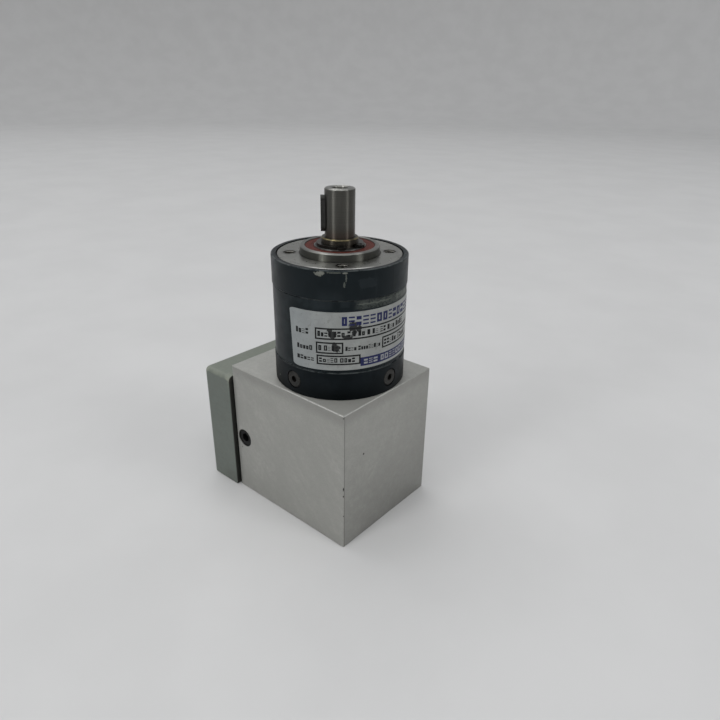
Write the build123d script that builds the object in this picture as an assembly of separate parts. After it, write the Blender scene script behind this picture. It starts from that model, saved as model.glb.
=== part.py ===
from build123d import *
from math import acos, cos, degrees, pi, radians, sin, sqrt, tan
import os

# Planetary gear reducer on a motor block, in millimetres.
# Origin: the output axis where it meets the block's underside. +Z points to the output shaft,
# -X to the grey side cover, -Y to the block face that holds the visible cover screw.

# ---------------------------------------------------------------- driving dimensions
BLOCK_LEFT = -39.0
BLOCK_RIGHT = 28.0
BLOCK_HALF_Y = 28.5
BLOCK_HEIGHT = 64.0
BLOCK_EDGE = 0.4

BODY_R = 27.5
RING_GEAR_R = 27.25
RING_GEAR_Z = 76.0
OUTPUT_RING_Z = 105.5
FLANGE_TOP_Z = 116.8
LIP_TOP_Z = 117.0
SEAM_CHAMFER = 0.3
FIT_GAP = 0.05

FLANGE_R = 25.0
FLANGE_HUB_R = 20.95
FLANGE_HUB_Z = 96.0
FLANGE_EDGE = 0.12
FLANGE_GROOVE = 0.5
FLANGE_GROOVE_Z = 115.6
FLANGE_BOLT_R = 20.0
FLANGE_BOLT_DEPTH = 9.0
M4_CORE_R = 1.65
M5_MOUTH_R = 2.6

SHAFT_R = 6.0
SHAFT_TOP_Z = 141.8
SHAFT_CHAMFER = 0.4
COLLAR_TOP_Z = 123.2
COLLAR_CHAMFER = 0.4
KEY_WIDTH = 4.0
KEY_HEIGHT = 4.0
KEY_LENGTH = 14.0
KEY_SEAT_DEPTH = 2.5
KEY_Z = 125.1
KEY_ANGLE = -135.0

MODULE = 0.4
PRESSURE_ANGLE = radians(20)
SUN_TEETH = 12
PLANET_TEETH = 42
RING_TEETH = 96
PLANETS = 3
TOOTH_THINNING = 0.06
PLANET_ADDENDUM = 0.31
TOOTH_Z = 80.0
TOOTH_TOP_Z = 92.5

MOTOR_PILOT_R = 19.05
MOTOR_PILOT_DEPTH = 3.0
MOTOR_BOLT_SPACING = 47.14
MOTOR_BOLT_DEPTH = 13.0
M5_CORE_R = 2.1
MOTOR_BORE_R = 3.175
CAVITY_R = 18.0
CAVITY_TOP_Z = 58.0
BOSS_R = 23.0
BOSS_TOP_Z = 72.5

COVER_LEFT = -58.1
COVER_HALF_Y = 30.2
COVER_BOTTOM_Z = 0.3
COVER_TOP_Z = 58.2
COVER_ROUND = 2.4
COVER_RIM_ROUND = 0.5
COVER_WALL = 4.0
GASKET_THICKNESS = 0.8
GASKET_HALF_Y = 27.5
COVER_SCREW_X = -33.5
COVER_SCREW_Z = 28.4

RADIAL_SCREW_Z = 70.0
RADIAL_SCREWS = 4
RADIAL_HEAD_R = 3.5
RADIAL_HEAD = 2.8
RADIAL_SEAT_R = 24.5

PLATE_THICKNESS = 0.15
PLATE_HALF_ANGLE = 72.0
PLATE_CENTRE_ANGLE = -19.0
PLATE_HEIGHT = 23.8
PLATE_MID_Z = 89.45
PLATE_TILT = 1.0
PLATE_CORNER = 1.0


# ---------------------------------------------------------------- small helpers
def tube(outer_r, inner_r, low_z, high_z):
    """A plain tube on the output axis."""
    return Pos(0, 0, low_z) * extrude(Circle(outer_r) - Circle(inner_r), high_z - low_z)


def rod(r, low_z, high_z, x=0.0, y=0.0):
    """An upright cylinder between two heights."""
    return Pos(x, y, low_z) * extrude(Circle(r), high_z - low_z)


def turned(*corners):
    """A solid of revolution about Z from its (radius, height) corners."""
    return revolve(Plane.XZ * make_face(Polyline(*corners, close=True)), Axis.Z)


def slab(x, y, z):
    """A box from three (low, high) pairs."""
    size = (x[1] - x[0], y[1] - y[0], z[1] - z[0])
    middle = ((x[0] + x[1]) / 2, (y[0] + y[1]) / 2, (z[0] + z[1]) / 2)
    return Pos(*middle) * Box(*size)


def around(count, solid, start=0.0):
    """Copies of a solid spread evenly about Z."""
    return [Rot(0, 0, start + k * 360 / count) * solid for k in range(count)]


def drilled(solid, tools):
    """The solid with every tool cut out of it."""
    for tool in tools:
        solid = solid - tool
    return solid


def along(direction, solid):
    """Turns a solid built up +Z so that it points along another direction."""
    return Plane((0, 0, 0), z_dir=direction) * solid


def socket_screw(head_r, head_length, shank_r, shank_length, hex_width, hex_depth):
    """A socket head screw: head above Z = 0, shank below it."""
    head = chamfer(rod(head_r, 0, head_length).edges().group_by(Axis.Z)[-1], 0.25)
    hexagon = RegularPolygon(hex_width / sqrt(3), 6)
    recess = Pos(0, 0, head_length - hex_depth) * extrude(hexagon, hex_depth + 1)
    shank = chamfer(rod(shank_r, -shank_length, 0).edges().group_by(Axis.Z)[0], 0.3)
    return head + shank - recess


def circlip(inner_r, outer_r, thickness, low_z, gap_angle, ear_r, ear_hole_r, ear_place_r):
    """An open retaining ring with two drilled ears, its gap on +X."""
    ring = Circle(outer_r) - Circle(inner_r)
    reach = 2 * outer_r
    half = radians(gap_angle / 2)
    gap = make_face(
        Polyline(
            (0, 0),
            (reach * cos(half), -reach * sin(half)),
            (reach * cos(half), reach * sin(half)),
            close=True,
        )
    )
    shape = ring - gap
    ear_angle = gap_angle / 2 + degrees(ear_r / ear_place_r)
    for side in (-1, 1):
        ear = Rot(0, 0, side * ear_angle) * Pos(ear_place_r, 0) * Circle(ear_r)
        hole = Rot(0, 0, side * ear_angle) * Pos(ear_place_r, 0) * Circle(ear_hole_r)
        shape = shape + ear - hole
    return Pos(0, 0, low_z) * extrude(shape, thickness)


# ---------------------------------------------------------------- gear teeth
def involute(angle):
    return tan(angle) - angle


def gear_outline(teeth, tip_r, root_r, thinning):
    """Closed outline of a spur gear with a tooth centred on +X."""
    pitch_r = MODULE * teeth / 2
    base_r = pitch_r * cos(PRESSURE_ANGLE)
    half_tooth = pi / (2 * teeth) - thinning / (2 * pitch_r)
    first_r = max(base_r, root_r)
    flank_r = [first_r + (tip_r - first_r) * step / 3 for step in range(4)]
    flank = [(r, half_tooth + involute(PRESSURE_ANGLE) - involute(acos(base_r / r))) for r in flank_r]
    if root_r < first_r:
        flank.insert(0, (root_r, flank[0][1]))
    points = []
    for k in range(teeth):
        middle = 2 * pi * k / teeth
        points += [(r * cos(middle - a), r * sin(middle - a)) for r, a in flank]
        points += [(r * cos(middle + a), r * sin(middle + a)) for r, a in reversed(flank)]
    return make_face(Polyline(*points, close=True))


def planet_angle(k):
    return 90.0 + k * 360 / PLANETS


def planet_phase(k):
    """Turn of planet k that meshes it with the sun, whose tooth 0 is on +X."""
    place = radians(planet_angle(k))
    sun_offset = -place * SUN_TEETH / (2 * pi)
    return place + pi + (0.5 - sun_offset) * 2 * pi / PLANET_TEETH


def ring_phase():
    """Turn of the ring's tooth spaces that meshes them with planet 0."""
    place = radians(planet_angle(0))
    return place + (planet_phase(0) - place) * PLANET_TEETH / RING_TEETH


PLANET_CENTRE_R = MODULE * (SUN_TEETH + PLANET_TEETH) / 2
SUN_TIP_R = MODULE * SUN_TEETH / 2 + MODULE
SUN_ROOT_R = MODULE * SUN_TEETH / 2 - 1.25 * MODULE
PLANET_TIP_R = MODULE * PLANET_TEETH / 2 + PLANET_ADDENDUM
PLANET_ROOT_R = MODULE * PLANET_TEETH / 2 - 1.25 * MODULE
RING_TIP_R = MODULE * RING_TEETH / 2 - MODULE
RING_ROOT_R = MODULE * RING_TEETH / 2 + 1.25 * MODULE
CARRIER_R = 18.0
CARRIER_Z = 91.0
CARRIER_TOP_Z = 95.0
REAR_PLATE_Z = 77.0
REAR_PLATE_TOP_Z = 81.0
POST_R = 3.0
POST_PLACE_R = CARRIER_R - POST_R - 0.3
POST_START = planet_angle(0) + 180 / PLANETS
PIN_R = 2.5
BUSH_R = 4.0
PLANET_Z = 81.6
PLANET_TOP_Z = 90.4


# ---------------------------------------------------------------- ball bearings
class BallBearing:
    """A deep groove ball bearing whose lower face is at low_z."""

    GROOVE_GAP = 0.03
    EDGE = 0.4

    def __init__(self, bore_r, outer_r, width, low_z, ball_r, balls, inner_land_r, outer_land_r):
        self.bore_r = bore_r
        self.outer_r = outer_r
        self.low_z = low_z
        self.high_z = low_z + width
        self.ball_r = ball_r
        self.balls = balls
        self.inner_land_r = inner_land_r
        self.outer_land_r = outer_land_r
        self.pitch_r = (inner_land_r + outer_land_r) / 2

    def middle_z(self):
        return (self.low_z + self.high_z) / 2

    def groove(self):
        return Pos(0, 0, self.middle_z()) * Torus(self.pitch_r, self.ball_r + self.GROOVE_GAP)

    def inner_ring(self):
        ring = tube(self.inner_land_r, self.bore_r, self.low_z, self.high_z)
        return ring - self.groove()

    def outer_ring(self):
        corner = self.EDGE
        ring = turned(
            (self.outer_land_r, self.low_z),
            (self.outer_r - corner, self.low_z),
            (self.outer_r, self.low_z + corner),
            (self.outer_r, self.high_z - corner),
            (self.outer_r - corner, self.high_z),
            (self.outer_land_r, self.high_z),
        )
        return ring - self.groove()

    def ball_set(self):
        return around(self.balls, Pos(self.pitch_r, 0, self.middle_z()) * Sphere(self.ball_r))

    def cage(self):
        half_height = 1.15 * self.ball_r
        wall = 0.3 * (self.outer_land_r - self.inner_land_r) / 2
        band = tube(
            self.pitch_r + wall,
            self.pitch_r - wall,
            self.middle_z() - half_height,
            self.middle_z() + half_height,
        )
        drill = rod(self.ball_r + 0.06, self.inner_land_r, self.outer_land_r)
        pocket = Pos(0, 0, self.middle_z()) * along((1, 0, 0), drill)
        return drilled(band, around(self.balls, pocket))

    def seals(self, depth, thickness):
        """Two rubber seals held by the outer ring, just clear of the inner ring."""
        lip_r = self.inner_land_r + 0.08
        upper = tube(self.outer_land_r, lip_r, self.high_z - depth - thickness, self.high_z - depth)
        lower = tube(self.outer_land_r, lip_r, self.low_z + depth, self.low_z + depth + thickness)
        return [upper, lower]


FRONT_BEARING = BallBearing(7.5, 16.0, 9.0, 110.9, 2.38, 9, 10.25, 14.1)
REAR_BEARING = BallBearing(10.0, 16.0, 7.0, 99.0, 1.75, 12, 12.0, 14.3)
INPUT_BEARING = BallBearing(4.0, 11.0, 7.0, BLOCK_HEIGHT, 1.98, 7, 6.05, 9.45)
BEARING_BORE_R = FRONT_BEARING.outer_r + 0.01


# ---------------------------------------------------------------- block and side cover
COVER_MOUTH_HALF_Y = 20.0
COVER_MOUTH_HALF_Z = 20.4
COVER_MOUTH_X = -27.0
WINDOW_HALF_Y = 12.0
WINDOW_HALF_Z = 18.0
COVER_SCREW_HEAD_R = 4.25
COVER_SCREW_HEAD = 5.0
COVER_SCREW_SEAT_Y = 23.0
BOSS_SEAL_Z = 66.6
SEAL_CORD_R = 0.75
CLIP_GROOVE_Z = 71.1
INPUT_CLIP_SEAT_R = 11.55


def cover_screw_bores():
    """Stepped holes for the two cross screws, one in each side wall."""
    bores = []
    for side in (-1, 1):
        place = Pos(COVER_SCREW_X, 0, COVER_SCREW_Z)
        reach = BLOCK_HALF_Y - COVER_SCREW_SEAT_Y
        head = Pos(0, 0, COVER_SCREW_SEAT_Y) * extrude(Circle(COVER_SCREW_HEAD_R + 0.05), reach)
        shank = Pos(0, 0, COVER_MOUTH_HALF_Y - 1) * extrude(Circle(2.7), 5)
        bores.append(place * along((0, side, 0), head + shank))
    return bores


def motor_bolt_holes():
    half = MOTOR_BOLT_SPACING / 2
    places = [(x, y) for x in (-half, half) for y in (-half, half)]
    return [rod(M5_CORE_R, 0, MOTOR_BOLT_DEPTH, x, y) for x, y in places]


def radial_holes(r, inner, outer):
    """Holes across the body wall at the height of the four radial screws."""
    hole = Pos(0, 0, RADIAL_SCREW_Z) * along((1, 0, 0), Pos(0, 0, inner) * extrude(Circle(r), outer - inner))
    return around(RADIAL_SCREWS, hole)


def housing_block():
    block = slab((BLOCK_LEFT, BLOCK_RIGHT), (-BLOCK_HALF_Y, BLOCK_HALF_Y), (0, BLOCK_HEIGHT))
    block = chamfer(block.edges(), BLOCK_EDGE)
    block = block + rod(BOSS_R, BLOCK_HEIGHT - 1, BOSS_TOP_Z)
    mouth = slab(
        (BLOCK_LEFT - 1, COVER_MOUTH_X),
        (-COVER_MOUTH_HALF_Y, COVER_MOUTH_HALF_Y),
        (COVER_SCREW_Z - COVER_MOUTH_HALF_Z, COVER_SCREW_Z + COVER_MOUTH_HALF_Z),
    )
    window = slab(
        (COVER_MOUTH_X - 1, 0),
        (-WINDOW_HALF_Y, WINDOW_HALF_Y),
        (COVER_SCREW_Z - WINDOW_HALF_Z, COVER_SCREW_Z + WINDOW_HALF_Z),
    )
    tools = [
        rod(MOTOR_PILOT_R, 0, MOTOR_PILOT_DEPTH),
        rod(CAVITY_R, 0, CAVITY_TOP_Z),
        rod(9.5, CAVITY_TOP_Z - 1, BLOCK_HEIGHT + 1),
        rod(INPUT_BEARING.outer_r + 0.01, BLOCK_HEIGHT, BOSS_TOP_Z),
        tube(INPUT_CLIP_SEAT_R, 10.0, CLIP_GROOVE_Z, CLIP_GROOVE_Z + 1.1),
        tube(BOSS_R + 1, BOSS_R - 1.35, BOSS_SEAL_Z - 0.9, BOSS_SEAL_Z + 0.9),
        fillet(mouth.edges().filter_by(Axis.X), 3.0),
        fillet(window.edges().filter_by(Axis.X), 3.0),
    ]
    tools += cover_screw_bores() + motor_bolt_holes() + radial_holes(M4_CORE_R, 16.5, BOSS_R + 1)
    return drilled(block, tools)


def side_cover():
    """A cast cap with two tongues that reach into the block's mouth."""
    rim_x = BLOCK_LEFT - GASKET_THICKNESS
    shell = slab((COVER_LEFT, rim_x), (-COVER_HALF_Y, COVER_HALF_Y), (COVER_BOTTOM_Z, COVER_TOP_Z))
    outer_edges = shell.faces().sort_by(Axis.X)[0].edges()
    top_edges = shell.faces().sort_by(Axis.Z)[-1].edges().filter_by(Axis.X)
    shell = fillet(outer_edges + top_edges, COVER_ROUND)
    rim_edges = shell.faces().sort_by(Axis.X)[-1].edges()
    shell = fillet(rim_edges, COVER_RIM_ROUND)
    pocket = slab((COVER_LEFT + COVER_WALL, rim_x + 1), (-22.0, 22.0), (7.4, 49.4))
    cap = shell - fillet(pocket.edges().filter_by(Axis.X), 4.0)
    for side in (-1, 1):
        outer = side * (COVER_MOUTH_HALF_Y - 0.1)
        inner = side * (COVER_MOUTH_HALF_Y - 6.0)
        tongue = slab(
            (COVER_LEFT + COVER_WALL - 1, COVER_MOUTH_X - 1),
            (min(outer, inner), max(outer, inner)),
            (COVER_SCREW_Z - 12, COVER_SCREW_Z + 12),
        )
        tapped = Pos(COVER_SCREW_X, 0, COVER_SCREW_Z) * along((0, side, 0), rod(M5_CORE_R, 10, 22))
        cap = cap + tongue - tapped
    return cap


def cover_gasket():
    sheet = slab(
        (BLOCK_LEFT - GASKET_THICKNESS, BLOCK_LEFT),
        (-GASKET_HALF_Y, GASKET_HALF_Y),
        (1.0, COVER_TOP_Z - 1.0),
    )
    opening = slab((BLOCK_LEFT - 2, BLOCK_LEFT + 1), (-21.0, 21.0), (7.0, 50.0))
    return sheet - fillet(opening.edges().filter_by(Axis.X), 3.5)


def cover_screws():
    screw = socket_screw(COVER_SCREW_HEAD_R, COVER_SCREW_HEAD, M5_CORE_R - 0.02, 8.5, 4.0, 2.6)
    seat = Pos(0, 0, COVER_SCREW_SEAT_Y) * screw
    place = Pos(COVER_SCREW_X, 0, COVER_SCREW_Z)
    return [place * along((0, side, 0), seat) for side in (-1, 1)]


# ---------------------------------------------------------------- round body
def input_ring():
    ring = tube(BODY_R, BOSS_R + FIT_GAP, BLOCK_HEIGHT, RING_GEAR_Z)
    ring = chamfer(ring.edges().filter_by(lambda e: e.length > 2 * pi * (BODY_R - 1)), SEAM_CHAMFER)
    heads = radial_holes(RADIAL_HEAD_R + 0.2, RADIAL_SEAT_R, BODY_R + 1)
    shanks = radial_holes(2.1, BOSS_R - 1, BODY_R)
    return drilled(ring, heads + shanks)


def ring_gear():
    wall = turned(
        (20.0, RING_GEAR_Z - 3),
        (BOSS_R - FIT_GAP, RING_GEAR_Z - 3),
        (BOSS_R - FIT_GAP, RING_GEAR_Z),
        (RING_GEAR_R - SEAM_CHAMFER, RING_GEAR_Z),
        (RING_GEAR_R, RING_GEAR_Z + SEAM_CHAMFER),
        (RING_GEAR_R, OUTPUT_RING_Z - SEAM_CHAMFER),
        (RING_GEAR_R - SEAM_CHAMFER, OUTPUT_RING_Z),
        (FLANGE_HUB_R + FIT_GAP, OUTPUT_RING_Z),
        (FLANGE_HUB_R + FIT_GAP, TOOTH_TOP_Z),
        (RING_TIP_R - 1, TOOTH_TOP_Z),
        (RING_TIP_R - 1, TOOTH_Z),
        (20.0, TOOTH_Z),
    )
    spaces = gear_outline(RING_TEETH, RING_ROOT_R, RING_TIP_R, -TOOTH_THINNING)
    cutter = Pos(0, 0, TOOTH_Z - 1) * extrude(spaces, TOOTH_TOP_Z - TOOTH_Z + 2)
    return wall - Rot(0, 0, degrees(ring_phase())) * cutter


def output_ring():
    ring = tube(BODY_R, FLANGE_R + FIT_GAP, OUTPUT_RING_Z, LIP_TOP_Z)
    rims = ring.edges().filter_by(lambda e: e.length > 2 * pi * (BODY_R - 1))
    ring = chamfer(rims.group_by(Axis.Z)[0], SEAM_CHAMFER)
    rims = ring.edges().filter_by(lambda e: e.length > 2 * pi * (BODY_R - 1))
    ring = fillet(rims.group_by(Axis.Z)[-1], 0.35)
    return ring - rod(FLANGE_R + FLANGE_GROOVE, FLANGE_GROOVE_Z, LIP_TOP_Z + 1)


def flange_bolt_holes():
    hole = rod(M5_CORE_R, FLANGE_TOP_Z - FLANGE_BOLT_DEPTH, FLANGE_TOP_Z, FLANGE_BOLT_R, 0)
    mouth_depth = M5_MOUTH_R - M5_CORE_R
    cone = Cone(M5_CORE_R, M5_MOUTH_R, mouth_depth)
    mouth = Pos(FLANGE_BOLT_R, 0, FLANGE_TOP_Z - mouth_depth / 2) * cone
    return around(4, hole + mouth, 45)


def front_flange():
    shoulder_r = 13.9
    shell = turned(
        (BEARING_BORE_R, FLANGE_HUB_Z),
        (FLANGE_HUB_R, FLANGE_HUB_Z),
        (FLANGE_HUB_R, OUTPUT_RING_Z),
        (FLANGE_R, OUTPUT_RING_Z),
        (FLANGE_R, FLANGE_TOP_Z - FLANGE_EDGE),
        (FLANGE_R - FLANGE_EDGE, FLANGE_TOP_Z),
        (BEARING_BORE_R + 0.35, FLANGE_TOP_Z),
        (BEARING_BORE_R, FLANGE_TOP_Z - 0.5),
        (BEARING_BORE_R, FRONT_BEARING.low_z),
        (shoulder_r, FRONT_BEARING.low_z),
        (shoulder_r, REAR_BEARING.high_z),
        (BEARING_BORE_R, REAR_BEARING.high_z),
    )
    clip_groove = tube(16.85, 15.0, 97.7, 99.0)
    seal_groove = tube(FLANGE_HUB_R + 1, FLANGE_HUB_R - 1.35, 101.1, 102.9)
    return drilled(shell, [clip_groove, seal_groove] + flange_bolt_holes())


def radial_screws():
    screw = socket_screw(RADIAL_HEAD_R, RADIAL_HEAD, M4_CORE_R - 0.02, 7.8, 2.5, 1.4)
    placed = Pos(0, 0, RADIAL_SCREW_Z) * along((1, 0, 0), Pos(0, 0, RADIAL_SEAT_R) * screw)
    return around(RADIAL_SCREWS, placed)


def name_plate():
    """A thin plate wrapped on the body, set on very slightly askew."""
    skin = tube(RING_GEAR_R + PLATE_THICKNESS, RING_GEAR_R, RING_GEAR_Z, OUTPUT_RING_Z)
    width = 2 * RING_GEAR_R * sin(radians(PLATE_HALF_ANGLE))
    outline = Rot(0, 0, PLATE_TILT) * RectangleRounded(width, PLATE_HEIGHT, PLATE_CORNER)
    window = extrude(outline, 2 * RING_GEAR_R)
    facing = Plane((0, 0, PLATE_MID_Z), x_dir=(0, 1, 0), z_dir=(1, 0, 0)) * window
    return Rot(0, 0, PLATE_CENTRE_ANGLE) * (skin & facing)


def seal_rings():
    """Cord seals of the boss and of the flange hub, squashed into their grooves."""
    boss = tube(BOSS_R - 0.02, BOSS_R - 1.3, BOSS_SEAL_Z - SEAL_CORD_R, BOSS_SEAL_Z + SEAL_CORD_R)
    hub = tube(FLANGE_HUB_R - 0.02, FLANGE_HUB_R - 1.3, 102 - SEAL_CORD_R, 102 + SEAL_CORD_R)
    rounded = []
    for ring in (boss, hub):
        rounded.append(fillet(ring.edges(), 0.5))
    return rounded


# ---------------------------------------------------------------- output shaft and carrier
def key_prism(depth_r, top_r, length, width):
    """A round-ended key blank that stands radially on the shaft."""
    outline = SlotOverall(length, width)
    blank = Pos(0, 0, depth_r) * extrude(outline, top_r - depth_r)
    upright = Plane((0, 0, 0), x_dir=(0, 0, 1), z_dir=(1, 0, 0)) * blank
    return Rot(0, 0, KEY_ANGLE) * Pos(0, 0, KEY_Z + length / 2) * upright


def pin_places():
    return [Rot(0, 0, planet_angle(k)) * Pos(PLANET_CENTRE_R, 0, 0) for k in range(PLANETS)]


def output_shaft():
    journal_r = FRONT_BEARING.bore_r
    clip_seat_r = 7.15
    clip_z = FRONT_BEARING.high_z + 0.05
    body = turned(
        (0, CARRIER_Z),
        (CARRIER_R, CARRIER_Z),
        (CARRIER_R, CARRIER_TOP_Z),
        (11.8, CARRIER_TOP_Z),
        (11.8, REAR_BEARING.low_z),
        (REAR_BEARING.bore_r, REAR_BEARING.low_z),
        (REAR_BEARING.bore_r, FRONT_BEARING.low_z),
        (journal_r, FRONT_BEARING.low_z),
        (journal_r, clip_z),
        (clip_seat_r, clip_z),
        (clip_seat_r, clip_z + 1.1),
        (journal_r, clip_z + 1.1),
        (journal_r, COLLAR_TOP_Z - COLLAR_CHAMFER),
        (journal_r - COLLAR_CHAMFER, COLLAR_TOP_Z),
        (SHAFT_R, COLLAR_TOP_Z),
        (SHAFT_R, SHAFT_TOP_Z - SHAFT_CHAMFER),
        (SHAFT_R - SHAFT_CHAMFER, SHAFT_TOP_Z),
        (0, SHAFT_TOP_Z),
    )
    post = rod(POST_R, REAR_PLATE_TOP_Z, CARRIER_Z + 1, POST_PLACE_R, 0)
    for solid in around(PLANETS, post, POST_START):
        body = body + solid
    centre_mouth_r = 3.3
    centre_mouth = 2.4
    centre_cone = Pos(0, 0, SHAFT_TOP_Z - centre_mouth / 2) * Cone(M4_CORE_R + 0.3, centre_mouth_r, centre_mouth)
    tools = [rod(M4_CORE_R, SHAFT_TOP_Z - 12, SHAFT_TOP_Z), centre_cone]
    tools.append(key_prism(SHAFT_R - KEY_SEAT_DEPTH, SHAFT_R + 2, KEY_LENGTH + 0.1, KEY_WIDTH + 0.02))
    tools += around(PLANETS, rod(1.05, REAR_PLATE_TOP_Z - 1, 89, POST_PLACE_R, 0), POST_START)
    tools += [place * rod(PIN_R + 0.01, CARRIER_Z - 1, 94.5) for place in pin_places()]
    return drilled(body, tools)


def shaft_key():
    foot_r = SHAFT_R - KEY_SEAT_DEPTH
    key = key_prism(foot_r, foot_r + KEY_HEIGHT, KEY_LENGTH, KEY_WIDTH)
    return key


def shaft_circlip():
    clip = circlip(7.15, 9.35, 1.0, FRONT_BEARING.high_z + 0.1, 36, 1.7, 0.85, 9.0)
    return Rot(0, 0, -14) * clip


def rear_bearing_circlip():
    clip = tube(16.8, 14.6, 97.75, 98.95)
    return clip - slab((10, 20), (-3, 3), (90, 110))


def carrier_plate():
    plate = tube(CARRIER_R, 4.6, REAR_PLATE_Z, REAR_PLATE_TOP_Z)
    plate = chamfer(plate.edges().group_by(Axis.Z)[0], 0.4)
    tools = [place * rod(PIN_R + 0.01, REAR_PLATE_Z, REAR_PLATE_TOP_Z) for place in pin_places()]
    tools += around(PLANETS, rod(1.35, REAR_PLATE_Z, REAR_PLATE_TOP_Z, POST_PLACE_R, 0), POST_START)
    tools += around(PLANETS, rod(2.4, REAR_PLATE_Z, REAR_PLATE_Z + 2.6, POST_PLACE_R, 0), POST_START)
    return drilled(plate, tools)


def carrier_screws():
    screw = along((0, 0, -1), socket_screw(2.25, 2.4, 1.03, 8.5, 2.0, 1.2))
    return around(PLANETS, Pos(POST_PLACE_R, 0, REAR_PLATE_Z + 2.6) * screw, POST_START)


def planet_pins():
    pin = chamfer(rod(PIN_R, REAR_PLATE_Z + 0.2, 94.4).edges(), 0.3)
    return [place * pin for place in pin_places()]


def planet_washers():
    low = tube(4.7, PIN_R + 0.05, REAR_PLATE_TOP_Z + 0.02, PLANET_Z - 0.08)
    high = tube(4.7, PIN_R + 0.05, PLANET_TOP_Z + 0.08, CARRIER_Z - 0.02)
    return [place * washer for place in pin_places() for washer in (low, high)]


def planet_gear(k):
    outline = gear_outline(PLANET_TEETH, PLANET_TIP_R, PLANET_ROOT_R, TOOTH_THINNING)
    gear = extrude(outline - Circle(BUSH_R), PLANET_TOP_Z - PLANET_Z)
    turn = degrees(planet_phase(k)) - planet_angle(k)
    return pin_places()[k] * Pos(0, 0, PLANET_Z) * Rot(0, 0, turn) * gear


def planet_bush(k):
    return pin_places()[k] * tube(BUSH_R - 0.01, PIN_R + 0.03, PLANET_Z, PLANET_TOP_Z)


# ---------------------------------------------------------------- input shaft and coupling
INPUT_SHAFT_END_Z = 31.0
MOTOR_HUB_Z = 8.0
MOTOR_HUB_TOP_Z = 20.0
GEAR_HUB_Z = 30.0
GEAR_HUB_TOP_Z = 42.0
HUB_R = 15.0
CLAW_INNER_R = 7.0
CLAW_ANGLE = 24.0
SPIDER_ANGLE = 19.0
CLAWS = 4
CLAMP_Y = -10.5


def sector(inner_r, outer_r, angle, low_z, high_z, middle=0.0):
    """A ring sector centred on an angle about Z."""
    reach = 2 * outer_r
    half = radians(angle / 2)
    wedge = make_face(
        Polyline(
            (0, 0),
            (reach * cos(half), -reach * sin(half)),
            (reach * cos(half), reach * sin(half)),
            close=True,
        )
    )
    face = (Circle(outer_r) - Circle(inner_r)) & wedge
    return Rot(0, 0, middle) * Pos(0, 0, low_z) * extrude(face, high_z - low_z)


def sun_shaft():
    journal_r = INPUT_BEARING.bore_r
    clip_z = BLOCK_HEIGHT - 1.0
    neck_top_z = PLANET_Z - 0.3
    body = turned(
        (0, INPUT_SHAFT_END_Z),
        (journal_r - 0.5, INPUT_SHAFT_END_Z),
        (journal_r, INPUT_SHAFT_END_Z + 0.5),
        (journal_r, clip_z),
        (3.7, clip_z),
        (3.7, clip_z + 0.9),
        (journal_r, clip_z + 0.9),
        (journal_r, INPUT_BEARING.high_z),
        (5.5, INPUT_BEARING.high_z),
        (5.5, INPUT_BEARING.high_z + 2),
        (3.2, INPUT_BEARING.high_z + 2),
        (3.2, neck_top_z),
        (0, neck_top_z),
    )
    outline = gear_outline(SUN_TEETH, SUN_TIP_R, SUN_ROOT_R, TOOTH_THINNING)
    pinion = Pos(0, 0, neck_top_z - 0.5) * extrude(outline, PLANET_TOP_Z + 0.7 - neck_top_z)
    return body + pinion


def input_bearing_circlip():
    clip = tube(INPUT_CLIP_SEAT_R - 0.05, 9.6, CLIP_GROOVE_Z + 0.05, CLIP_GROOVE_Z + 1.05)
    return clip - slab((5, 15), (-2.5, 2.5), (60, 80))


def sun_shaft_circlip():
    return circlip(3.7, 5.1, 0.8, BLOCK_HEIGHT - 0.95, 50, 1.2, 0.5, 5.0)


def clamp_bores(middle_z):
    """Bores across a hub for its clamp screw, and the slot that the screw closes."""
    place = Pos(0, CLAMP_Y, middle_z)
    head = place * along((-1, 0, 0), rod(2.85, 6.5, HUB_R))
    shank = place * along((-1, 0, 0), rod(1.27, -9, 7))
    slot = slab((-0.75, 0.75), (-HUB_R - 1, 0), (middle_z - 7, middle_z + 7))
    return [head, shank, slot]


def coupling_hub(bore_r, low_z, high_z, claw_low_z, claw_high_z, first_claw):
    middle_z = (low_z + high_z) / 2
    hub = chamfer(rod(HUB_R, low_z, high_z).edges(), 0.5)
    hub = drilled(hub, clamp_bores(middle_z) + [rod(bore_r, low_z, high_z)])
    claw = sector(CLAW_INNER_R, HUB_R - 0.3, CLAW_ANGLE, claw_low_z, claw_high_z)
    for solid in around(CLAWS, claw, first_claw):
        hub = hub + solid
    return hub


def coupling_hub_motor():
    return coupling_hub(MOTOR_BORE_R, MOTOR_HUB_Z, MOTOR_HUB_TOP_Z, MOTOR_HUB_TOP_Z - 0.8, 29.4, 45)


def coupling_hub_gear():
    return coupling_hub(INPUT_BEARING.bore_r + 0.01, GEAR_HUB_Z, GEAR_HUB_TOP_Z, 20.6, GEAR_HUB_Z + 0.8, 0)


def coupling_spider():
    spider = tube(CLAW_INNER_R - 0.2, 3.8, 20.8, 29.2)
    arm = sector(CLAW_INNER_R - 1, HUB_R - 0.6, SPIDER_ANGLE, 20.8, 29.2)
    for solid in around(2 * CLAWS, arm, 22.5):
        spider = spider + solid
    return spider


def coupling_clamp_screws():
    screw = Pos(0, 0, 6.5) * socket_screw(2.75, 3.0, 1.23, 13.5, 2.5, 1.5)
    heights = ((MOTOR_HUB_Z + MOTOR_HUB_TOP_Z) / 2, (GEAR_HUB_Z + GEAR_HUB_TOP_Z) / 2)
    return [Pos(0, CLAMP_Y, z) * along((-1, 0, 0), screw) for z in heights]


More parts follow.
